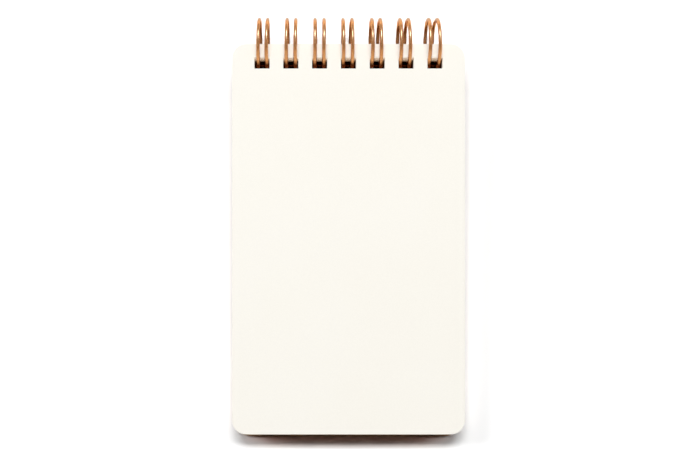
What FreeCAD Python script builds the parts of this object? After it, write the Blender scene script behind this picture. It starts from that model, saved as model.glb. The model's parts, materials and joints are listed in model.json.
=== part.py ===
# Twin-loop wire-bound memo pad, opened at a blank page with both covers folded round behind it.
# It lies on its back: X runs along the binding, +Y points from the sheets to the binding, +Z is up.
# Every piece is drawn about the binding's axis and then turned about it into its resting place.
import FreeCAD, Part
import math
import os
import Sketcher
from FreeCAD import Placement, Rotation, Vector

doc = FreeCAD.newDocument("memo_pad")

drivingSizes = {
    "page_width": 68.2,
    "page_length": 114.5,
    "page_corner": 4.1,        # radius of the rounded corners
    "block_thickness": 6.0,    # about sixty sheets
    "page_rise": 3.8,          # top sheet above the binding's axis
    "cover_side_lip": 0.45,    # the covers stand past the sheets at each side
    "cover_foot_lip": 2.0,     # and at the foot
    "back_thickness": 0.8,
    "front_thickness": 0.5,
    "back_slip": 0.4,          # how far each cover has slid along the wire, towards the binding
    "front_slip": 0.9,
    "loop_count": 7,
    "loop_pitch": 8.467,       # three loops to the inch
    "hole_width": 4.5,
    "hole_height": 3.2,
    "hole_margin": 4.0,        # sheet's bound edge to its holes
    "ring_outer": 14.9,
    "ring_reach": 1.0,         # binding's axis beyond the sheets' bound edge
    "wire_diameter": 1.06,
    "strand_spacing": 2.64,    # between the two strands of a loop
    "link_bend": 0.9,          # bend radius where a link turns into a strand
    "tip_gap": 0.3,            # loop tip to the line of the links
    "link_clearance": 0.1,     # link to the last sheet and to the back cover
    "cover_gap": 0.04,         # between the two covers, and under the sheets' foot
}

sheet = doc.addObject("Spreadsheet::Sheet", "sizes")
for row, (alias, value) in enumerate(drivingSizes.items(), start=1):
    sheet.set(f"A{row}", alias)
    sheet.set(f"B{row}", str(value))
    sheet.setAlias(f"B{row}", alias)
doc.recompute()

# Distances below the binding's axis, as expressions on the sheet.
blockDepth = "(sizes.block_thickness - sizes.page_rise)"
backDepth = f"({blockDepth} + sizes.wire_diameter + 2 * sizes.link_clearance)"
frontDepth = f"({backDepth} + sizes.back_thickness + sizes.cover_gap)"
restDepth = f"({frontDepth} + sizes.front_thickness)"

# Distances from the binding's axis to each piece's bound edge and foot.
backEdge = "(sizes.ring_reach - sizes.back_slip)"
frontEdge = "(sizes.ring_reach - sizes.front_slip)"
coverLength = "(sizes.page_length + sizes.cover_foot_lip)"
coverWidth = "(sizes.page_width + 2 * sizes.cover_side_lip)"
pageFoot = "(sizes.ring_reach + sizes.page_length)"
backFoot = f"({backEdge} + {coverLength})"
frontFoot = f"({frontEdge} + {coverLength})"

# The rings and the front cover's foot stand on the ground, and the sheets' foot lies on the back cover.
ringRadius = "(sizes.ring_outer / 2)"
coverTilt = (f"(asin({ringRadius} / sqrt({restDepth} ^ 2 + {frontFoot} ^ 2))"
             f" - atan({restDepth} / {frontFoot}))")
seatDepth = f"({backDepth} - sizes.cover_gap)"
pageTilt = (f"({coverTilt} + asin({seatDepth} / sqrt({blockDepth} ^ 2 + {pageFoot} ^ 2))"
            f" - atan({blockDepth} / {pageFoot}))")

# The axis lies so that the origin is on the ground under the middle of the whole pad.
axisHeight = ringRadius
axisAcross = f"(({backFoot} * cos({coverTilt}) - {backDepth} * sin({coverTilt}) - {ringRadius}) / 2)"


def settle(piece, turn):
    """Turns a piece about the binding's axis and sets the axis in its place."""
    piece.Placement = Placement(Vector(0, 0, 0), Rotation(Vector(1, 0, 0), 1))
    piece.setExpression("Placement.Rotation.Angle", turn)
    piece.setExpression("Placement.Base.y", axisAcross)
    piece.setExpression("Placement.Base.z", axisHeight)


def originFeature(body, role):
    return next(item for item in body.Origin.OriginFeatures if item.Role == role)


def levelSketch(body, name, level):
    """A sketch parallel to the sheets, at a level above the binding's axis."""
    sketch = body.newObject("Sketcher::SketchObject", name)
    sketch.AttachmentSupport = [(originFeature(body, "XY_Plane"), "")]
    sketch.MapMode = "FlatFace"
    sketch.setExpression("AttachmentOffset.Base.z", level)
    return sketch


def constrain(sketch, name, expression, *terms):
    index = sketch.addConstraint(Sketcher.Constraint(*terms))
    sketch.renameConstraint(index, name)
    sketch.setExpression(f"Constraints.{name}", expression)


def drawOutline(sketch, width, length, edge):
    """A rounded rectangle, its bound edge at a distance below the axis line."""
    w, y1, y0, r = 30.0, -2.0, -100.0, 4.0
    quarter = math.pi / 2
    line = lambda ax, ay, bx, by: Part.LineSegment(Vector(ax, ay, 0), Vector(bx, by, 0))
    arc = lambda cx, cy, start: Part.ArcOfCircle(
        Part.Circle(Vector(cx, cy, 0), Vector(0, 0, 1), r), start * quarter, (start + 1) * quarter)
    foot, lowRight, right, topRight, top, topLeft, left, lowLeft = (sketch.addGeometry(item) for item in (
        line(-w + r, y0, w - r, y0), arc(w - r, y0 + r, 3),
        line(w, y0 + r, w, y1 - r), arc(w - r, y1 - r, 0),
        line(w - r, y1, -w + r, y1), arc(-w + r, y1 - r, 1),
        line(-w, y1 - r, -w, y0 + r), arc(-w + r, y0 + r, 2)))
    ring = (foot, lowRight, right, topRight, top, topLeft, left, lowLeft)
    for here, after in zip(ring, ring[1:] + ring[:1]):
        sketch.addConstraint(Sketcher.Constraint("Tangent", here, 2, after, 1))
    sketch.addConstraint(Sketcher.Constraint("Horizontal", foot))
    for upright in (left, right):
        sketch.addConstraint(Sketcher.Constraint("Vertical", upright))
    for corner in (topRight, topLeft, lowLeft):
        sketch.addConstraint(Sketcher.Constraint("Equal", lowRight, corner))
    sketch.addConstraint(Sketcher.Constraint("Symmetric", top, 1, top, 2, -2))
    constrain(sketch, "corner", "sizes.page_corner", "Radius", lowRight, r)
    constrain(sketch, "width", width, "DistanceX", left, 1, right, 1, 2 * w)
    constrain(sketch, "length", length, "DistanceY", foot, 1, top, 1, y1 - y0)
    constrain(sketch, "edge", edge, "DistanceY", top, 1, -1, 1, -y1)


def drawHole(sketch, edge):
    """The first punched hole, at the left end of the row."""
    x0, x1, y0, y1 = -28.0, -24.0, -9.0, -6.0
    corners = [(x0, y0), (x1, y0), (x1, y1), (x0, y1)]
    sides = [sketch.addGeometry(Part.LineSegment(Vector(*a, 0), Vector(*b, 0)))
             for a, b in zip(corners, corners[1:] + corners[:1])]
    for here, after in zip(sides, sides[1:] + sides[:1]):
        sketch.addConstraint(Sketcher.Constraint("Coincident", here, 2, after, 1))
    for flat in sides[::2]:
        sketch.addConstraint(Sketcher.Constraint("Horizontal", flat))
    for upright in sides[1::2]:
        sketch.addConstraint(Sketcher.Constraint("Vertical", upright))
    rowHalf = "(sizes.loop_count - 1) / 2 * sizes.loop_pitch"
    constrain(sketch, "width", "sizes.hole_width", "DistanceX", sides[0], 1, sides[0], 2, x1 - x0)
    constrain(sketch, "height", "sizes.hole_height", "DistanceY", sides[1], 1, sides[1], 2, y1 - y0)
    constrain(sketch, "start", f"{rowHalf} + sizes.hole_width / 2", "DistanceX", sides[0], 1, -1, 1, -x0)
    constrain(sketch, "margin", f"{edge} + sizes.hole_margin", "DistanceY", sides[2], 1, -1, 1, -y1)


def punchedBody(name, width, length, edge, thickness, topLevel, turn):
    """A flat rounded piece with the row of binding holes, bound like a sheet."""
    body = doc.addObject("PartDesign::Body", name)
    body.Label = name
    outline = levelSketch(body, f"{name}_outline", f"{topLevel} - {thickness}")
    drawOutline(outline, width, length, edge)
    slab = body.newObject("PartDesign::Pad", f"{name}_slab")
    slab.Profile = outline
    slab.setExpression("Length", thickness)
    doc.recompute()

    firstHole = levelSketch(body, f"{name}_hole", topLevel)
    drawHole(firstHole, edge)
    punch = body.newObject("PartDesign::Pocket", f"{name}_punch")
    punch.Profile = firstHole
    punch.Type = "ThroughAll"
    doc.recompute()

    row = body.newObject("PartDesign::LinearPattern", f"{name}_row")
    row.Originals = [punch]
    row.Direction = (firstHole, ["H_Axis"])
    row.setExpression("Length", "(sizes.loop_count - 1) * sizes.loop_pitch")
    row.setExpression("Occurrences", "sizes.loop_count")
    body.Tip = row
    settle(body, turn)
    doc.recompute()
    return body


def turn(centre, fromArm, toArm, angle, runAngle):
    """Points round an arc, from one arm of its circle towards the other, a run of at most runAngle apart."""
    runs = math.ceil(angle / runAngle)
    steps = [angle * step / runs for step in range(runs + 1)]
    return [centre + fromArm * math.cos(step) + toArm * math.sin(step) for step in steps]


def wirePoints():
    """The twin-loop wire's centre line: for each loop a bend out of the link, a strand round the ring, the
    hairpin tip, the strand back and a bend into the next link. The ring's centre is the origin, and the
    strands leave their links straight down on the side of the sheets."""
    ringRun, bendRun = math.radians(12), math.radians(22.5)
    bend = sheet.link_bend
    ring = (sheet.ring_outer - sheet.wire_diameter) / 2
    half = sheet.strand_spacing / 2
    tipAngle = 0
    for _ in range(10):                        # the hairpin's half circle ends a gap above the links
        tipAngle = math.asin((bend + sheet.tip_gap + half * math.cos(tipAngle)) / ring)

    across, up = Vector(1, 0, 0), Vector(0, 0, 1)
    sheetsSide = Vector(0, -1, 0)
    tipArm = Vector(0, -math.cos(tipAngle), math.sin(tipAngle))
    tipAlong = Vector(0, -math.sin(tipAngle), -math.cos(tipAngle))
    aroundAngle = 2 * math.pi - tipAngle

    rowHalf = (sheet.loop_count - 1) / 2 * sheet.loop_pitch
    points = [Vector(-rowHalf - sheet.loop_pitch / 2, -ring, bend)]
    for loop in range(int(sheet.loop_count)):
        middle = across * (loop * sheet.loop_pitch - rowHalf)
        left, right = middle - across * half, middle + across * half
        points += turn(left + sheetsSide * ring - across * bend, up * bend, across * bend,
                       math.pi / 2, bendRun)[:-1]
        points += turn(left, sheetsSide * ring, -up * ring, aroundAngle, ringRun)[:-1]
        points += turn(middle + tipArm * ring, -across * half, tipAlong * half, math.pi, bendRun)[:-1]
        points += turn(right, tipArm * ring, -tipAlong * ring, aroundAngle, ringRun)[:-1]
        points += turn(right + sheetsSide * ring + across * bend, -across * bend, up * bend,
                       math.pi / 2, bendRun)
    points.append(Vector(rowHalf + sheet.loop_pitch / 2, -ring, bend))
    return points


def twinLoopWire(name):
    """One bent wire: a ten-sided section swept along short straight runs round the loops."""
    points = wirePoints()
    path = doc.addObject("Part::Feature", f"{name}_path")
    path.Shape = Part.makePolygon(points)
    section = doc.addObject("Part::RegularPolygon", f"{name}_section")
    section.Polygon = 10
    section.setExpression("Circumradius", "sizes.wire_diameter / 2")
    section.Placement = Placement(points[0], Rotation(Vector(0, 0, 1), Vector(1, 0, 0)))
    wire = doc.addObject("Part::Sweep", name)
    wire.Label = name
    wire.Sections = [section]
    wire.Spine = (path, [f"Edge{index + 1}" for index in range(len(path.Shape.Edges))])
    wire.Transition = "Right corner"
    wire.Solid = True
    ring = "((sizes.ring_outer - sizes.wire_diameter) / 2)"
    linkDepth = f"({blockDepth} + sizes.link_clearance + sizes.wire_diameter / 2)"
    linkTurn = (f"{pageTilt} + asin({linkDepth} / sqrt({ring} ^ 2 + sizes.link_bend ^ 2))"
                f" + atan(sizes.link_bend / {ring})")
    settle(wire, linkTurn)
    doc.recompute()
    return wire


pieces = [
    punchedBody("page_block", "sizes.page_width", "sizes.page_length", "sizes.ring_reach",
                "sizes.block_thickness", "sizes.page_rise", pageTilt),
    punchedBody("back_cover", coverWidth, coverLength, backEdge,
                "sizes.back_thickness", f"-{backDepth}", coverTilt),
    punchedBody("front_cover", coverWidth, coverLength, frontEdge,
                "sizes.front_thickness", f"-{frontDepth}", coverTilt),
    twinLoopWire("binding_wire"),
]

doc.recompute()
for item in doc.Objects:
    if "Invalid" in item.State or "Error" in item.State:
        raise RuntimeError(f"{item.Label} failed: {item.State}")
for piece in pieces:
    if piece.Shape.isNull() or not piece.Shape.isValid():
        raise RuntimeError(f"{piece.Label} has no valid shape")

os.makedirs("parts", exist_ok=True)
for piece in pieces:
    piece.Shape.exportStep(f"parts/{piece.Label}.step")
    box = piece.Shape.BoundBox
    print(f"{piece.Label}: {len(piece.Shape.Solids)} solid, {piece.Shape.Volume:.1f} mm3,",
          f"x {box.XMin:.2f}..{box.XMax:.2f}, y {box.YMin:.2f}..{box.YMax:.2f}, z {box.ZMin:.3f}..{box.ZMax:.2f}")
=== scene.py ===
# Looks of the wire-bound memo pad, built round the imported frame. Metres, +Z up, binding towards +Y.
import json
import math

import bmesh
import bpy
import numpy as np
from mathutils import Euler, Matrix, Vector


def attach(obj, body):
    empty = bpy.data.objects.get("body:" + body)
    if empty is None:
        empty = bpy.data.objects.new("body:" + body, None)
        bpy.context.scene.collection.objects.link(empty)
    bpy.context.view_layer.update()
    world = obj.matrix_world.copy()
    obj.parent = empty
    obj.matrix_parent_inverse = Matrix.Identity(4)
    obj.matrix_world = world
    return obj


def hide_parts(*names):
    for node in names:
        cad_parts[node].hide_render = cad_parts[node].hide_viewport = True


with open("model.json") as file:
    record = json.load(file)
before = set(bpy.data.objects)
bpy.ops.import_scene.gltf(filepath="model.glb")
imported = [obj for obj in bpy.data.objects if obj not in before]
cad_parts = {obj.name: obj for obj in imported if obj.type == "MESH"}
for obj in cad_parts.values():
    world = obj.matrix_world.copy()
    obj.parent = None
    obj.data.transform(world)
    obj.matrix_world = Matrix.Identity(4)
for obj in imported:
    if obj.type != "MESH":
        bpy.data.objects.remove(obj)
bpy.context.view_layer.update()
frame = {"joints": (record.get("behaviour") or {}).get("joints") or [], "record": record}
mm = 0.001

# The binding's axis and the slopes at which the sheets and the covers lie, from the frame
turnJoint = frame["joints"][0]
axisY, axisZ = turnJoint["pos_m"][1:]
mounts = {mount["name"]: mount for mount in frame["record"]["mounts"]}
pageNormal = mounts["writing_face"]["axis"]
coverNormal = mounts["back_face"]["axis"]
pageTilt = math.atan2(-pageNormal[1], pageNormal[2])
coverTilt = math.atan2(coverNormal[1], -coverNormal[2])


def settled(points, tilt):  # turned about the binding's axis by the tilt, then moved to the axis
    x, y, z = np.moveaxis(np.asarray(points, float), -1, 0)
    return np.stack([x, axisY + y * math.cos(tilt) - z * math.sin(tilt),
                     axisZ + y * math.sin(tilt) + z * math.cos(tilt)], axis=-1)


def smooth(t):  # 0 to 1 with level ends, 3t^2 - 2t^3
    t = np.clip(t, 0, 1)
    return t * t * (3 - 2 * t)


def gridFaces(rows, columns, keep=None, flip=False):  # quads of a rows x columns grid of points
    index = np.arange(rows * columns).reshape(rows, columns)
    quads = np.stack([index[:-1, :-1], index[:-1, 1:], index[1:, 1:], index[1:, :-1]], axis=-1)
    quads = quads[keep] if keep is not None else quads.reshape(-1, 4)
    return quads[:, ::-1] if flip else quads


def wallFaces(rows, loop, flip=False):  # quads of a wall made of rows of a closed loop of points
    index = np.arange(rows * loop).reshape(rows, loop)
    index = np.concatenate([index, index[:, :1]], axis=1)
    quads = np.stack([index[:-1, :-1], index[1:, :-1], index[1:, 1:], index[:-1, 1:]], axis=-1)
    quads = quads.reshape(-1, 4)
    return quads[:, ::-1] if flip else quads


def addPiece(name, points, quads, body, material, extraFaces=()):
    mesh = bpy.data.meshes.new(name)
    mesh.from_pydata(points, [], quads.tolist() + [list(face) for face in extraFaces])
    mesh.validate()
    piece = bpy.data.objects.new(name, mesh)
    bpy.context.scene.collection.objects.link(piece)
    mesh.materials.append(material)
    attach(piece, body)
    return piece


def weld(piece, distance):  # joins the seams between a piece's patches
    work = bmesh.new()
    work.from_mesh(piece.data)
    bmesh.ops.remove_doubles(work, verts=work.verts, dist=distance)
    bmesh.ops.recalc_face_normals(work, faces=work.faces)
    work.to_mesh(piece.data)
    work.free()


# The camera looks straight on to the page, through a lens of about 49 mm
view = {
    "lens": 48.9, "sensor": 36.0,
    "distance": 278.8 * mm,      # camera to the page
    "aimX": -10.7 * mm,          # where the lens axis meets the page, from its middle line
    "aimY": -56.56 * mm,         # and from the binding's axis
    "pageRise": 3.8 * mm,        # the page above the binding's axis
    "shift": 38 / 700,           # the frame is a little right of the lens axis
    "clip": (0.01, 10.0),
}


def addCamera():
    data = bpy.data.cameras.new("camera")
    data.lens, data.sensor_width = view["lens"], view["sensor"]
    data.shift_x = view["shift"]
    data.clip_start, data.clip_end = view["clip"]
    camera = bpy.data.objects.new("camera", data)
    bpy.context.scene.collection.objects.link(camera)
    aim = [view["aimX"], view["aimY"], view["pageRise"] + view["distance"]]
    camera.location = settled(aim, pageTilt)
    camera.rotation_euler = (pageTilt, 0, 0)
    bpy.context.scene.camera = camera
    print("camera set")


def newMaterial(name):
    material = bpy.data.materials.new(name)
    material.use_nodes = True
    tree = material.node_tree
    tree.nodes.clear()
    output = tree.nodes.new("ShaderNodeOutputMaterial")
    shader = tree.nodes.new("ShaderNodeBsdfPrincipled")
    tree.links.new(shader.outputs["BSDF"], output.inputs["Surface"])
    return material, tree, shader


def node(tree, kind, inputs=None, **settings):  # a node with its settings, and sockets set or linked
    made = tree.nodes.new("ShaderNode" + kind)
    for name, value in settings.items():
        setattr(made, name, value)
    for name, value in (inputs or {}).items():
        if isinstance(value, bpy.types.NodeSocket):
            tree.links.new(value, made.inputs[name])
        else:
            made.inputs[name].default_value = value
    return made


def millimetres(tree, stretch=(1, 1, 1), turn=(0, 0, 0)):  # object coordinates in mm, turned and stretched
    coords = node(tree, "TexCoord").outputs["Object"]
    scale = [1000 * value for value in stretch]
    return node(tree, "Mapping", {"Vector": coords, "Scale": scale, "Rotation": turn}).outputs["Vector"]


def apart(tree, vector):  # a vector's X, Y and Z
    return node(tree, "SeparateXYZ", {"Vector": vector}).outputs


def noise(tree, vector, scale, detail=3.0, roughness=0.5):
    return node(tree, "TexNoise", {"Vector": vector, "Scale": scale, "Detail": detail,
                                   "Roughness": roughness}).outputs["Fac"]


def ramp(tree, value, *stops):  # stops are (position, colour or grey)
    made = node(tree, "ValToRGB", {"Fac": value})
    band = made.color_ramp
    while len(band.elements) < len(stops):
        band.elements.new(0.5)
    for element, (position, colour) in zip(band.elements, stops):
        element.position = position
        element.color = (*colour, 1) if isinstance(colour, tuple) else (colour, colour, colour, 1)
    return made.outputs["Color"]


def share(tree, value, start, stop, soft=False, top=1.0):  # 0 up to start, top from stop on
    curve = "SMOOTHSTEP" if soft else "LINEAR"
    return node(tree, "MapRange", {"Value": value, "From Min": start, "From Max": stop, "To Max": top},
                interpolation_type=curve).outputs["Result"]


def maths(tree, operation, first, second=0.5):
    return node(tree, "Math", {0: first, 1: second}, operation=operation).outputs[0]


def mix(tree, blend, factor, first, second):
    made = node(tree, "Mix", data_type="RGBA", blend_type=blend)
    for socket, value in ((made.inputs[0], factor), (made.inputs[6], first), (made.inputs[7], second)):
        if isinstance(value, bpy.types.NodeSocket):
            tree.links.new(value, socket)
        elif isinstance(value, tuple):
            socket.default_value = (*value, 1)
        else:
            socket.default_value = value
    return made.outputs[2]


def bump(tree, shader, height, strength, distance):
    made = node(tree, "Bump", {"Height": height, "Strength": strength, "Distance": distance})
    tree.links.new(made.outputs["Normal"], shader.inputs["Normal"])


# The walls of the punched holes, with their painted shade and painted glow; heights are above the ground in
# mm
holeWall = {
    "paintedShadeTint": (0.045, 0.013, 0.006),  # painted shade: multiplies the walls' colour
    "paintedShadeHeight": (10.6, 8.0),      # where the painted shade starts and where it is whole
    "facing": -0.7,                  # walls whose normal's Y is below this get the painted glow
    "paintedGlow": 1.6,                  # strength of the painted glow, standing in for light that comes through the sheets
    "paintedGlowHeight": (11.2, 5.2),    # its first and its last colour
    "paintedGlowTints": ((0.0, (0.64, 0.56, 0.46)), (0.3, (0.66, 0.52, 0.40)), (0.55, (0.60, 0.44, 0.31)),
                     (0.8, (0.50, 0.35, 0.22)), (1.0, (0.35, 0.23, 0.14))),
}


def paintHoleShade(tree, colour):  # painted shade: darkens the walls of the holes below the top sheets
    marked = node(tree, "Attribute", attribute_name="holeWall").outputs["Fac"]
    height = apart(tree, millimetres(tree))["Z"]
    paintedShade = share(tree, height, *holeWall["paintedShadeHeight"], soft=True)
    return mix(tree, "MULTIPLY", maths(tree, "MULTIPLY", marked, paintedShade), colour, holeWall["paintedShadeTint"])


def paintedHoleGlow(tree):  # painted glow on the hole walls nearest the binding, standing in for light that comes through the sheets
    marked = node(tree, "Attribute", attribute_name="holeWall").outputs["Fac"]
    facing = apart(tree, node(tree, "NewGeometry").outputs["Normal"])["Y"]
    towards = maths(tree, "LESS_THAN", facing, holeWall["facing"])
    height = apart(tree, millimetres(tree))["Z"]
    depth = share(tree, height, *holeWall["paintedGlowHeight"])
    glow = ramp(tree, depth, *holeWall["paintedGlowTints"])
    level = maths(tree, "MULTIPLY", marked, towards)
    return glow, maths(tree, "MULTIPLY", level, holeWall["paintedGlow"])


paper = {
    "cream": (0.79, 0.769, 0.711), "warm": (0.785, 0.762, 0.698), "cloudScale": 0.035,
    "fibreShade": 0.97, "fibreScale": 2.2,
    "rough": 0.82, "gloss": 0.1,
    "grainScale": 5.0, "grain": 0.12, "grainDepth": 0.02 * mm,
}


def paperMaterial():
    material, tree, shader = newMaterial("creamPaper")
    flat = millimetres(tree)
    cloud = noise(tree, flat, paper["cloudScale"], 2)
    cloud = ramp(tree, cloud, (0.35, paper["cream"]), (0.75, paper["warm"]))
    # painted glow on the hole walls nearest the binding
    glow, level = paintedHoleGlow(tree)
    tree.links.new(glow, shader.inputs["Emission Color"])
    tree.links.new(level, shader.inputs["Emission Strength"])
    fibre = noise(tree, flat, paper["fibreScale"], 4, 0.7)
    fibre = ramp(tree, fibre, (0.3, paper["fibreShade"]), (0.7, 1.0))
    # painted shade on the hole walls
    colour = paintHoleShade(tree, mix(tree, "MULTIPLY", 1.0, cloud, fibre))
    tree.links.new(colour, shader.inputs["Base Color"])
    shader.inputs["Roughness"].default_value = paper["rough"]
    shader.inputs["Specular IOR Level"].default_value = paper["gloss"]
    grain = noise(tree, flat, paper["grainScale"], 5, 0.65)
    bump(tree, shader, grain, paper["grain"], paper["grainDepth"])
    return material


kraft = {
    "base": (0.30, 0.145, 0.065), "pale": (0.40, 0.215, 0.108), "streakScale": 1.3,
    "along": (0.5, 3.0, 3.0), "across": (3.0, 0.6, 3.0),  # stretch of the two layers of fibres
    "crossing": 0.5,                                      # angle between the layers
    "acrossShade": 0.86, "acrossScale": 1.7,
    "fleck": (0.55, 0.45, 0.38), "fleckScale": 4.0, "fleckShare": 0.7,
    "rough": 0.78, "gloss": 0.08,
    "grainScale": 2.0, "grain": 0.25, "grainDepth": 0.03 * mm,
}


def kraftMaterial(name, turn):
    material, tree, shader = newMaterial(name)
    along = millimetres(tree, kraft["along"], (0, 0, turn))
    across = millimetres(tree, kraft["across"], (0, 0, turn + kraft["crossing"]))
    streaks = noise(tree, along, kraft["streakScale"], 5, 0.6)
    streaks = ramp(tree, streaks, (0.3, kraft["base"]), (0.72, kraft["pale"]))
    second = noise(tree, across, kraft["acrossScale"], 5, 0.6)
    second = ramp(tree, second, (0.35, kraft["acrossShade"]), (0.65, 1.0))
    flecks = noise(tree, across, kraft["fleckScale"], 2, 0.5)
    flecks = ramp(tree, flecks, (0.66, (1.0, 1.0, 1.0)), (0.74, kraft["fleck"]))
    colour = mix(tree, "MULTIPLY", 1.0, streaks, second)
    # painted shade on the hole walls
    colour = paintHoleShade(tree, mix(tree, "MULTIPLY", kraft["fleckShare"], colour, flecks))
    tree.links.new(colour, shader.inputs["Base Color"])
    shader.inputs["Roughness"].default_value = kraft["rough"]
    shader.inputs["Specular IOR Level"].default_value = kraft["gloss"]
    grain = noise(tree, along, kraft["grainScale"], 5, 0.7)
    bump(tree, shader, grain, kraft["grain"], kraft["grainDepth"])
    return material


# The lacquered wire. Heights are above the ground and places from the binding's axis, in mm: each pair is
# where a change starts and where it is whole.
copper = {
    "base": (0.70, 0.32, 0.125), "pale": (0.77, 0.38, 0.16), "rim": (0.42, 0.20, 0.08), "toneScale": 1.6,
    "drawn": (0.35, 14.0, 1.0),        # stretch of the marks that drawing left along the wire
    "rough": (0.16, 0.34), "scuffScale": 3.0,
    "coat": 0.2, "coatRough": 0.12,
    "grainScale": 5.0, "grain": 0.08, "grainDepth": 0.01 * mm,
    "paintedShade": (0.06, 0.016, 0.005),      # painted shade, low in the holes and near the ground
    "holeShadeHeight": (7.8, 6.0), "holePlace": (-4.4, -5.0),
    "footShadeHeight": (6.0, 1.0), "footShadeShare": 0.6,
    "paintedSheen": (0.66, 0.52, 0.42),         # painted sheen: paler where the loops turn over at the back, standing in for their reflection of the pale surroundings
    "sheenPlace": (4.9, 7.1), "sheenHeight": (-1.5, 1.0),
    "paintedHoleLight": (0.10, 0.019, 0.004),     # painted glow on the strands in the holes, standing in for light from the paper's cut edges
    "holeLightHeight": (10.0, 8.8),
}


def copperMaterial():
    material, tree, shader = newMaterial("copperWire")
    alongWire = node(tree, "TexCoord").outputs["UV"]
    drawn = node(tree, "Mapping", {"Vector": alongWire, "Scale": copper["drawn"]}).outputs["Vector"]
    tone = noise(tree, drawn, copper["toneScale"], 4, 0.6)
    tone = ramp(tree, tone, (0.3, copper["base"]), (0.7, copper["pale"]))
    _, place, height = apart(tree, millimetres(tree))

    # Painted shade: darker low in the holes and near the ground, with less coat there
    holeStart, holeWhole = (axisY / mm + value for value in copper["holePlace"])
    inHole = share(tree, place, holeStart, holeWhole)
    paintedShade = maths(tree, "MULTIPLY", share(tree, height, *copper["holeShadeHeight"], soft=True), inHole)
    foot = share(tree, height, *copper["footShadeHeight"], soft=True, top=copper["footShadeShare"])
    paintedShade = maths(tree, "MAXIMUM", paintedShade, foot)

    # Painted sheen: paler where the loops turn over at the back, in the colour and the edge tint
    sheenStart, sheenWhole = (axisY / mm + value for value in copper["sheenPlace"])
    sheenLow, sheenHigh = (axisZ / mm + value for value in copper["sheenHeight"])
    pale = share(tree, place, sheenStart, sheenWhole)
    pale = maths(tree, "MULTIPLY", pale, share(tree, height, sheenLow, sheenHigh))
    tone = mix(tree, "MIX", pale, tone, copper["paintedSheen"])
    rim = mix(tree, "MIX", pale, copper["rim"], copper["paintedSheen"])
    # the painted shade takes over the colour and the edge tint
    tree.links.new(mix(tree, "MIX", paintedShade, tone, copper["paintedShade"]), shader.inputs["Base Color"])
    tree.links.new(mix(tree, "MIX", paintedShade, rim, copper["paintedShade"]), shader.inputs["Specular Tint"])

    # Painted glow on the strands high in the holes, less where the painted shade is
    paintedHoleLight = maths(tree, "MULTIPLY", share(tree, height, *copper["holeLightHeight"]), inHole)
    paintedHoleLight = maths(tree, "MULTIPLY", paintedHoleLight, maths(tree, "SUBTRACT", 1.0, paintedShade))
    tree.links.new(paintedHoleLight, shader.inputs["Emission Strength"])
    shader.inputs["Emission Color"].default_value = (*copper["paintedHoleLight"], 1.0)

    shader.inputs["Metallic"].default_value = 1.0
    coat = node(tree, "MapRange", {"Value": paintedShade, "To Min": copper["coat"], "To Max": 0.0})
    tree.links.new(coat.outputs["Result"], shader.inputs["Coat Weight"])
    shader.inputs["Coat Roughness"].default_value = copper["coatRough"]
    scuff = noise(tree, drawn, copper["scuffScale"], 4, 0.6)
    scuff = ramp(tree, scuff, (0.3, copper["rough"][0]), (0.75, copper["rough"][1]))
    tree.links.new(scuff, shader.inputs["Roughness"])
    grain = noise(tree, drawn, copper["grainScale"], 3, 0.5)
    bump(tree, shader, grain, copper["grain"], copper["grainDepth"])
    return material


# The flat pieces: seven punched holes run through the sheets and the covers, in from the bound edge
punch = {
    "pitch": 8.467 * mm, "count": 7, "width": 4.5 * mm, "height": 3.2 * mm, "margin": 4.0 * mm,
    "core": 0.4,          # the walls' steps point away from a core, this share of the height inside each hole
}
cornerRows = 9            # rows of points round a quarter of a rounded corner
hair = 1e-7               # for finding a column or row by its place
weldGap = 0.0005 * mm


def spaced(start, stop, step):  # start to stop without the stop, in even steps of at most step
    count = max(1, math.ceil(abs(stop - start) / step - 1e-9))
    return start + (stop - start) * np.arange(count) / count


def flatGrid(size):
    # A rounded rectangle as a grid: rows run from the bound edge to the foot, and past the last holes each
    # row is drawn in to the half width that the corner's circle leaves it, w/2 - r + sqrt(r^2 - (r - end)^2).
    width, length, radius = size["width"], size["length"], size["corner"]
    holeX = (np.arange(punch["count"]) - (punch["count"] - 1) / 2) * punch["pitch"]
    holeLeft, holeRight = holeX - punch["width"] / 2, holeX + punch["width"] / 2
    stops = np.sort(np.concatenate([[-width / 2, width / 2], holeLeft, holeRight]))
    columns = [spaced(a, b, size["step"]) for a, b in zip(stops, stops[1:])]
    columns = np.concatenate(columns + [stops[-1:]])
    arc = radius * (1 - np.cos(np.linspace(0, math.pi / 2, cornerRows)))
    holeTop, holeFoot = punch["margin"], punch["margin"] + punch["height"]
    rows = np.concatenate([arc[:-1], [holeTop], arc[-1:], [holeFoot],
                           spaced(holeFoot, length - radius, size["step"])[1:], length - arc[::-1]])
    rows = np.unique(np.round(rows, 9))

    inset = np.clip(radius - np.minimum(rows, length - rows), 0, radius)
    half = width / 2 - radius + np.sqrt(radius ** 2 - inset ** 2)
    outer = holeRight[-1]
    beyond = np.maximum(np.abs(columns) - outer, 0) * ((half - outer) / (width / 2 - outer))[:, None]
    x = np.sign(columns) * (np.minimum(np.abs(columns), outer) + beyond)
    y = np.broadcast_to(-(size["edge"] + rows)[:, None], x.shape)

    middle = (columns[:-1] + columns[1:]) / 2
    inHoleX = (np.abs(middle[:, None] - holeX[None, :]) < punch["width"] / 2).any(axis=1)
    middle = (rows[:-1] + rows[1:]) / 2
    inHoleY = (middle > holeTop) & (middle < holeFoot)
    keep = ~(inHoleY[:, None] & inHoleX[None, :])
    top, foot = np.searchsorted(rows, [holeTop - hair, holeFoot - hair])
    lefts, rights = np.searchsorted(columns, [holeLeft - hair, holeRight - hair])
    holes = [(top, foot, left, right) for left, right in zip(lefts, rights)]
    return np.stack([x, y], axis=-1), keep, holes


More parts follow.
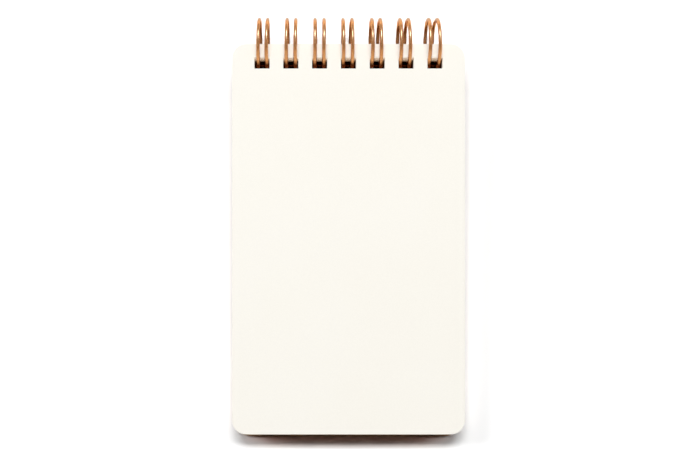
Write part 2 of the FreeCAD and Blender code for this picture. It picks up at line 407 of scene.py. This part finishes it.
def borderLoop(top, foot, left, right):  # row and column numbers round a block of the grid, clockwise
    rows = np.concatenate([np.full(right - left, top), np.arange(top, foot),
                           np.full(right - left, foot), np.arange(foot, top, -1)])
    columns = np.concatenate([np.arange(left, right), np.full(foot - top, right),
                              np.arange(right, left, -1), np.full(foot - top, left)])
    return rows, columns


def outward(loop, low, high):  # unit steps away from the inner rectangle low..high
    step = loop - np.clip(loop, low, high)
    return step / np.maximum(np.linalg.norm(step, axis=-1, keepdims=True), 1e-9)


def slab(name, size, levels, proud, drift, tilt, body, material):
    # A flat piece with holes. Its top and bottom are grids, and each wall is a loop of the grid carried down
    # the levels, standing proud by a given amount at each level and drifting sideways with it.
    grid, keep, holes = flatGrid(size)
    rows, columns = grid.shape[:2]
    levels, proud = np.asarray(levels), np.asarray(proud)
    parts, quads, inHole, count = [], [], [], 0

    def add(points, faces, hole=0.0):
        nonlocal count
        parts.append(points.reshape(-1, 3))
        quads.append(faces + count)
        inHole.append(np.full(len(faces), hole))
        count += parts[-1].shape[0]

    for level, flip in ((0, True), (-1, False)):
        face = np.concatenate([grid + drift[level], np.full((rows, columns, 1), levels[level])], axis=-1)
        add(face, gridFaces(rows, columns, keep=keep, flip=flip))
    radius = size["corner"]
    low = np.array([-size["width"] / 2 + radius, -size["edge"] - size["length"] + radius])
    high = np.array([size["width"] / 2 - radius, -size["edge"] - radius])
    loops = [(borderLoop(0, rows - 1, 0, columns - 1), low, high, 1)]
    reach = np.array([punch["width"], punch["height"]]) / 2 - punch["core"] * punch["height"]
    for top, foot, left, right in holes:
        centre = (grid[top, left] + grid[foot, right]) / 2
        loops.append((borderLoop(top, foot, left, right), centre - reach, centre + reach, -1))
    for (loopRows, loopColumns), lowCorner, highCorner, side in loops:
        loop = grid[loopRows, loopColumns]
        away = outward(loop, lowCorner, highCorner) * side
        wall = loop[None] + away[None] * proud[:, None, None] + drift[:, None, :]
        height = np.broadcast_to(levels[:, None, None], (*wall.shape[:2], 1))
        faces = wallFaces(*wall.shape[:2], flip=side < 0)
        add(np.concatenate([wall, height], axis=-1), faces, float(side < 0))
    points = settled(np.concatenate(parts), tilt)
    piece = addPiece(name, points, np.concatenate(quads), body, material)
    marked = piece.data.attributes.new("holeWall", "FLOAT", "FACE")
    marked.data.foreach_set("value", np.concatenate(inHole))
    weld(piece, weldGap)
    return piece


block = {
    "width": 68.2 * mm, "length": 114.5 * mm, "corner": 4.1 * mm, "thickness": 6.0 * mm, "sheets": 60,
    "edge": 1.0 * mm,           # the bound edge from the binding's axis
    "rise": 3.8 * mm,           # and the top sheet above it
    "step": 6 * mm,             # largest step of the grid
    "groove": 0.045 * mm,       # depth of the groove under each sheet
    "edgeFoot": 0.8,            # where the sheet's edge ends, and the groove begins, in shares of a sheet
    "grooveTop": 0.9,
    "shuffle": 0.05 * mm, "shuffleMost": 0.09 * mm,
    "walk": 0.4, "walkShare": 0.5, "scatter": 0.5, "seed": 11,
}


def addSheets(material):
    # Walls of sixty sheets: each sheet gives an upper edge, a lower edge and the groove under it, and the
    # sheets are shuffled sideways by a slow random walk and a small scatter.
    random = np.random.default_rng(block["seed"])
    sheets = block["sheets"]
    pitch = block["thickness"] / sheets
    tops = block["rise"] - pitch * np.arange(sheets)
    levels = [tops, tops - block["edgeFoot"] * pitch, tops - block["grooveTop"] * pitch]
    levels = np.append(np.stack(levels, axis=1).ravel()[:-1], block["rise"] - block["thickness"])
    proud = np.tile([0, 0, -block["groove"]], sheets)[:-1]
    proud = np.append(proud, 0)
    walk = np.cumsum(random.normal(0, block["walk"], (sheets, 2)), axis=0)
    walk = walk - np.linspace(0, 1, sheets)[:, None] * walk[-1]
    scatter = random.normal(0, block["scatter"], (sheets, 2))
    scatter[[0, -1]] = 0
    shift = block["shuffle"] * (block["walkShare"] * walk + scatter)
    drift = np.repeat(np.clip(shift, -block["shuffleMost"], block["shuffleMost"]), 3, axis=0)
    piece = slab("sheets", block, levels, proud, drift, pageTilt, "sheets", material)
    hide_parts("page_block")
    print("sheets made")
    return piece


# "edge" and "top" are measured from the binding's axis, and "round" is the radius of the rim's two edges
backBoard = {
    "width": 69.1 * mm, "length": 116.5 * mm, "corner": 5.0 * mm, "edge": 0.6 * mm, "step": 8 * mm,
    "top": -3.46 * mm, "thickness": 0.8 * mm, "round": 0.07 * mm, "fibreTurn": 0.1,
}
frontCard = {
    "width": 69.1 * mm, "length": 116.5 * mm, "corner": 5.0 * mm, "edge": 0.1 * mm, "step": 8 * mm,
    "top": -4.3 * mm, "thickness": 0.5 * mm, "round": 0.05 * mm, "fibreTurn": 1.3,
}


def addCover(name, size, body, replaced, material):
    # The rim's profile is a quarter round at each face: proud by -r(1 - sin a) at a depth of r(1 - cos a)
    angle = np.linspace(0, math.pi / 2, 4)
    fall = size["round"] * (1 - np.cos(angle))
    back = size["round"] * (np.sin(angle) - 1)
    levels = np.concatenate([-fall, fall[::-1] - size["thickness"]]) + size["top"]
    proud = np.concatenate([back, back[::-1]])
    drift = np.zeros((len(levels), 2))
    piece = slab(name, size, levels, proud, drift, coverTilt, body, material)
    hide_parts(replaced)
    print(name, "made")
    return piece


wire = {
    "diameter": 1.06 * mm,
    "ring": 6.865 * mm,         # radius of the loops, to the wire's middle
    "spacing": 2.64 * mm,       # between a loop's two strands
    "bend": 0.9 * mm,           # radius of the bends by the links
    "tipGap": 0.3 * mm,         # between the hairpin tips and those bends
    "linkDepth": 2.83 * mm,     # the links below the binding's axis, square to the sheets
    "around": 16, "ringRun": math.radians(5), "bendRun": math.radians(15),
    # Turns round the ring, in degrees from the links, between which the strands' bends come and go
    "leave": 60, "toBack": (80, 180), "toUnder": (190, 270), "toTip": (340, 290),
}
# How far each loop's left and right strands are bent sideways: over the sheets, at the back and underneath
bentStrands = np.array([
    ((0.28, 0.50, 0.38), (0.03, 0.30, 0.08)),
    ((0.03, 0.20, 0.27), (0.0, 0.16, -0.10)),
    ((-0.04, 0.0, 0.15), (-0.10, 0.03, 0.05)),
    ((-0.15, -0.23, 0.0), (-0.19, -0.22, -0.37)),
    ((-0.13, -0.23, -0.15), (-0.25, -0.37, -0.51)),
    ((-0.29, -0.37, -0.30), (-0.32, -0.55, -0.76)),
    ((-0.33, -0.37, -0.37), (-0.11, -0.42, -0.85)),
]) * mm


def between(value, start, stop):  # 0 at start and 1 at stop, with level ends
    return smooth((value - start) / (stop - start))


def arcPoints(centre, fromArm, toArm, angle, run):  # centre + from cos t + to sin t, without the last point
    steps = angle * np.arange(math.ceil(angle / run)) / math.ceil(angle / run)
    return centre + np.outer(np.cos(steps), fromArm) + np.outer(np.sin(steps), toArm)


def sideways(loop, points, middle):  # how far each of a loop's points is bent to the right
    turn = np.degrees(np.arctan2(points[:, 2], -points[:, 1])) % 360
    rightShare = smooth((points[:, 0] - middle) / wire["spacing"] + 0.5)[:, None]
    left, right = bentStrands[loop]
    over, back, under = ((1 - rightShare) * left + rightShare * right).T
    bent = over + (back - over) * between(turn, *wire["toBack"])
    bent = bent + (under - back) * between(turn, *wire["toUnder"])
    leaving = (1 - np.cos(np.radians(turn))) / (1 - math.cos(math.radians(wire["leave"])))
    return bent * (smooth(leaving) * between(turn, *wire["toTip"]))


def wireLine():
    # For each loop a bend out of the link, a strand round the ring, the hairpin tip, the strand back and a
    # bend into the next link, with the outward direction at each point.
    ring, bend, half, pitch = wire["ring"], wire["bend"], wire["spacing"] / 2, punch["pitch"]
    tip = 0.0  # the angle by which the tips stop short of the links: ten rounds settle it
    for _ in range(10):
        tip = math.asin((bend + wire["tipGap"] + half * math.cos(tip)) / ring)
    across, up, out = np.eye(3)[0], np.eye(3)[2], -np.eye(3)[1]
    tipArm = np.array([0, -math.cos(tip), math.sin(tip)])
    tipAlong = np.array([0, -math.sin(tip), -math.cos(tip)])
    rowHalf = (punch["count"] - 1) / 2 * pitch
    points = [np.array([[-rowHalf - pitch / 2, -ring, bend]])]
    normals = [out[None]]

    def add(centre, fromArm, toArm, angle, run, normal=None):
        arc = arcPoints(centre, fromArm, toArm, angle, run)
        points.append(arc)
        normals.append(np.broadcast_to(normal, arc.shape) if normal is not None else (arc - centre) / ring)

    for loop in range(punch["count"]):
        middle = across * (loop * pitch - rowHalf)
        left, right = middle - across * half, middle + across * half
        first = len(points)
        add(left + out * ring - across * bend, up * bend, across * bend, math.pi / 2, wire["bendRun"], out)
        add(left, out * ring, -up * ring, 2 * math.pi - tip, wire["ringRun"])
        add(middle + tipArm * ring, -across * half, tipAlong * half, math.pi, wire["bendRun"], tipArm)
        add(right, tipArm * ring, -tipAlong * ring, 2 * math.pi - tip, wire["ringRun"])
        add(right + out * ring + across * bend, -across * bend, up * bend, math.pi / 2, wire["bendRun"], out)
        loopPoints = np.concatenate(points[first:])
        loopPoints[:, 0] += sideways(loop, loopPoints, middle[0])
        points[first:] = [loopPoints]
    points.append(np.array([[rowHalf + pitch / 2, -ring, bend]]))
    normals.append(out[None])
    return np.concatenate(points), np.concatenate(normals)


def addWire(material):
    # A round section carried along the line: point + r (normal cos a + binormal sin a)
    line, normal = wireLine()
    tangent = np.gradient(line, axis=0)
    tangent /= np.linalg.norm(tangent, axis=1, keepdims=True)
    normal = normal - tangent * (normal * tangent).sum(axis=1, keepdims=True)
    normal /= np.linalg.norm(normal, axis=1, keepdims=True)
    binormal = np.cross(tangent, normal)
    angle = 2 * math.pi * np.arange(wire["around"]) / wire["around"]
    radius = wire["diameter"] / 2
    tube = (line[:, None] + radius * (normal[:, None] * np.cos(angle)[None, :, None]
                                      + binormal[:, None] * np.sin(angle)[None, :, None]))
    # The whole wire is turned until the links lie at their depth below the axis
    ring, bend = wire["ring"], wire["bend"]
    linkTurn = pageTilt + math.asin(wire["linkDepth"] / math.hypot(ring, bend)) + math.atan(bend / ring)
    rows, around = tube.shape[:2]
    quads = wallFaces(rows, around)
    ends = (range(around)[::-1], range((rows - 1) * around, rows * around))
    points = settled(tube.reshape(-1, 3), linkTurn)
    piece = addPiece("twinLoopWire", points, quads, "sheets", material, ends)
    mesh = piece.data
    run = np.concatenate([[0], np.cumsum(np.linalg.norm(np.diff(line, axis=0), axis=1))]) / mm
    layer = mesh.uv_layers.new(name="alongWire")
    corners = np.empty(len(mesh.loops), int)
    mesh.loops.foreach_get("vertex_index", corners)
    uv = np.stack([run[corners // around], (corners % around) / around], axis=1)
    layer.data.foreach_set("uv", uv.ravel())
    mesh.polygons.foreach_set("use_smooth", [len(face.vertices) == 4 for face in mesh.polygons])
    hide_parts("binding_wire")
    print("wire made")


studio = {
    "fill": 0.008,        # light from the surroundings, and its colour
    "fillTint": (1, 0.62, 0.48, 1),
    "mirror": 0.5,        # what the wire sees of them
    "rise": 57.0,         # the lamps form a long strip along X, seen at this height from the pad
    "key": {"level": 0.755, "swing": 0, "away": 3.0, "width": 1.7, "height": 0.56},
    "left": {"level": 0.37, "swing": 56, "away": 3.0, "width": 1.83, "height": 0.55},
    "right": {"level": 0.23, "swing": -54, "away": 3.0, "width": 1.83, "height": 0.55},
    # The back panel's reflection is the highlight on each strand, and the front panel's the light on the rest
    "backPanel": {"level": 17.0, "swing": 0, "away": 1.0, "width": 0.45, "height": 0.80, "drop": -5,
                  "tint": (0.40, 0.62, 1.0),
                  "fade": ((0.05, 0.3), (0.2, 1.0), (0.5, 1.0), (0.68, 0.25), (0.95, 0.1))},
    "frontPanel": {"level": 0.9, "swing": 0, "away": 1.0, "width": 1.6, "height": 1.06, "drop": -91,
                   "tint": (1.0, 1.0, 0.92),
                   "fade": ((0.0, 0.95), (0.6, 1.0), (0.72, 0.95), (0.84, (0.48, 0.4, 0.32)),
                            (1.0, (0.42, 0.34, 0.26)))},
}


def lampTurn(lamp):  # faces the pad from the strip, swung along it, or dropped below it
    rise = math.radians(studio["rise"] - lamp.get("drop", 0))
    strip = Euler((math.pi / 2 - rise, 0, math.pi)).to_matrix()
    return strip @ Matrix.Rotation(math.radians(lamp["swing"]), 3, "Y")


def addLamp(name, blockers=None):
    # A rectangle facing the pad; its power gives the wanted level on a level floor,
    # power = pi^2 x level x distance^2 / height of its direction.
    lamp = studio[name]
    turn = lampTurn(lamp)
    data = bpy.data.lights.new(name, "AREA")
    data.shape = "RECTANGLE"
    data.size, data.size_y = lamp["width"], lamp["height"]
    data.energy = math.pi ** 2 * lamp["level"] * lamp["away"] ** 2 / turn.col[2].z
    made = bpy.data.objects.new(name, data)
    made.matrix_world = Matrix.Translation(turn.col[2] * lamp["away"]) @ turn.to_4x4()
    made.visible_glossy = False
    bpy.context.scene.collection.objects.link(made)
    if blockers is not None:
        made.light_linking.blocker_collection = blockers


# The ground, with places on it in mm: each pair is where a change starts and where it is whole
ground = {
    "half": 3.0,                                # half its width, in metres
    "cloud": (0.97, 0.985), "rough": 0.9,
    "dark": (0.02, 0.01, 0.008),                # painted shadow on the ground under the holes, so that it doesn't shine up through them
    "shadowNear": (-1.5, -3.5), "shadowFar": (-12.0, -8.0), "shadowSides": (31.0, 29.0),
    "shadeTintFoot": (-66.6, -63.4),                 # painted warm shade just beyond the board's foot, standing in for light thrown back by the board
    "shadeTintStart": (-54.0, -60.0), "shadeTintSides": (33.0, 22.0),
    "shadeTints": ((0.0, (1.0, 1.0, 1.0)), (0.375, (0.98, 0.90, 0.85)), (0.56, (0.97, 0.83, 0.79)),
                  (0.75, (0.97, 0.73, 0.66)), (1.0, (0.97, 0.63, 0.55))),
    "white": (350.0, 900.0),                    # plain white far out
}


def addFloor():
    material, tree, shader = newMaterial("paleFloor")
    cloudLow, cloudHigh = ground["cloud"]
    tone = ramp(tree, noise(tree, millimetres(tree), 0.02, 2), (0.3, cloudLow), (0.7, cloudHigh))
    sideX, alongY, _ = apart(tree, millimetres(tree))
    sideX = maths(tree, "ABSOLUTE", sideX)

    # painted shadow on the ground under the holes
    near = share(tree, alongY, *(axisY / mm + value for value in ground["shadowNear"]))
    far = share(tree, alongY, *(axisY / mm + value for value in ground["shadowFar"]))
    below = maths(tree, "MULTIPLY", near, far)
    below = maths(tree, "MULTIPLY", below, share(tree, sideX, *ground["shadowSides"]))
    tone = mix(tree, "MIX", below, tone, ground["dark"])

    # painted warm shade in the shadow beyond the foot
    glow = ramp(tree, share(tree, alongY, *ground["shadeTintFoot"]), *ground["shadeTints"])
    middle = share(tree, sideX, *ground["shadeTintSides"])
    warm = maths(tree, "MULTIPLY", middle, share(tree, alongY, *ground["shadeTintStart"]))
    tree.links.new(mix(tree, "MULTIPLY", warm, tone, glow), shader.inputs["Base Color"])
    shader.inputs["Roughness"].default_value = ground["rough"]
    shader.inputs["Specular IOR Level"].default_value = 0

    distance = node(tree, "VectorMath", {0: millimetres(tree)}, operation="LENGTH").outputs["Value"]
    tree.links.new(share(tree, distance, *ground["white"]), shader.inputs["Emission Strength"])
    shader.inputs["Emission Color"].default_value = (1, 1, 1, 1)

    half = ground["half"]
    mesh = bpy.data.meshes.new("floor")
    corners = [(-half, -half, 0), (half, -half, 0), (half, half, 0), (-half, half, 0)]
    mesh.from_pydata(corners, [], [(0, 1, 2, 3)])
    floor = bpy.data.objects.new("floor", mesh)
    mesh.materials.append(material)
    bpy.context.scene.collection.objects.link(floor)


def addMirrorOnly(name, corners, material):  # a card that only reflections show
    mesh = bpy.data.meshes.new(name)
    mesh.from_pydata(corners, [], [range(len(corners))])
    card = bpy.data.objects.new(name, mesh)
    mesh.materials.append(material)
    card.visible_camera = card.visible_diffuse = card.visible_shadow = card.visible_transmission = False
    bpy.context.scene.collection.objects.link(card)


# The dark round of the lens and the hands behind it, as the wire reflects them
lensCard = {
    "radius": 62 * mm,
    "past": 43 * mm,      # from the lens axis to its centre, towards the foot
    "sides": 48, "tone": (0.02, 0.03), "rough": 0.9,
}


def addLensCard():
    material, tree, shader = newMaterial("darkCard")
    dark, pale = lensCard["tone"]
    tone = ramp(tree, noise(tree, millimetres(tree), 0.05, 2), (0.3, dark), (0.7, pale))
    tree.links.new(tone, shader.inputs["Base Color"])
    shader.inputs["Roughness"].default_value = lensCard["rough"]
    sides, radius = lensCard["sides"], lensCard["radius"]
    angle = -2 * math.pi * np.arange(sides) / sides
    x = view["aimX"] + radius * np.cos(angle)
    y = view["aimY"] - lensCard["past"] + radius * np.sin(angle)
    z = np.full(sides, view["pageRise"] + view["distance"])
    addMirrorOnly("lensCard", settled(np.stack([x, y, z], axis=1), pageTilt), material)


def addPanel(name):  # a glowing card that fades from its lower edge to its upper one
    panel = studio[name]
    material, tree, shader = newMaterial(name)
    turn = lampTurn(panel)
    place = turn.col[2] * panel["away"]
    halfW, halfH = panel["width"] / 2, panel["height"] / 2
    cloud = noise(tree, millimetres(tree), 0.004, 1)
    tint = ramp(tree, cloud, (0.2, panel["tint"]), (0.8, tuple(0.97 * value for value in panel["tint"])))
    height = apart(tree, millimetres(tree))["Z"]
    low, high = sorted((place + turn.col[1] * side * halfH).z / mm for side in (-1, 1))
    glow = ramp(tree, share(tree, height, low, high), *panel["fade"])
    tree.links.new(mix(tree, "MULTIPLY", 1.0, tint, glow), shader.inputs["Emission Color"])
    shader.inputs["Emission Strength"].default_value = panel["level"]
    shader.inputs["Base Color"].default_value = (0, 0, 0, 1)
    shader.inputs["Specular IOR Level"].default_value = 0
    corners = ((-halfW, -halfH), (-halfW, halfH), (halfW, halfH), (halfW, -halfH))
    addMirrorOnly(name, [place + turn @ Vector((x, y, 0)) for x, y in corners], material)


def addStudio(flatPieces):
    addFloor()
    addLensCard()
    addPanel("backPanel")
    addPanel("frontPanel")
    blockers = bpy.data.collections.new("flatPieces")  # the side lamps cast shadows from these alone
    for piece in flatPieces:
        blockers.objects.link(piece)
    addLamp("key")
    addLamp("left", blockers)
    addLamp("right", blockers)
    world = bpy.data.worlds.new("studio")
    world.use_nodes = True
    tree = world.node_tree
    tree.nodes.clear()
    output = tree.nodes.new("ShaderNodeOutputWorld")
    path = node(tree, "LightPath")
    fill = node(tree, "Background", {"Color": studio["fillTint"], "Strength": studio["fill"]})
    mirror = node(tree, "Background", {"Color": (1, 1, 1, 1), "Strength": studio["mirror"]})
    bright = node(tree, "Background", {"Color": (1, 1, 1, 1), "Strength": 1.0})
    fill, mirror, bright = fill.outputs[0], mirror.outputs[0], bright.outputs[0]
    soft = node(tree, "MixShader", {0: path.outputs["Is Glossy Ray"], 1: fill, 2: mirror}).outputs[0]
    blend = node(tree, "MixShader", {0: path.outputs["Is Camera Ray"], 1: soft, 2: bright}).outputs[0]
    tree.links.new(blend, output.inputs["Surface"])
    bpy.context.scene.world = world
    bpy.context.scene.view_settings.view_transform = "Standard"
    print("studio set")


addCamera()
sheets = addSheets(paperMaterial())
boardKraft = kraftMaterial("kraftBoard", backBoard["fibreTurn"])
board = addCover("backBoard", backBoard, "back", "back_cover", boardKraft)
cardKraft = kraftMaterial("kraftCard", frontCard["fibreTurn"])
card = addCover("frontCard", frontCard, "front", "front_cover", cardKraft)
addWire(copperMaterial())
addStudio([sheets, board, card])
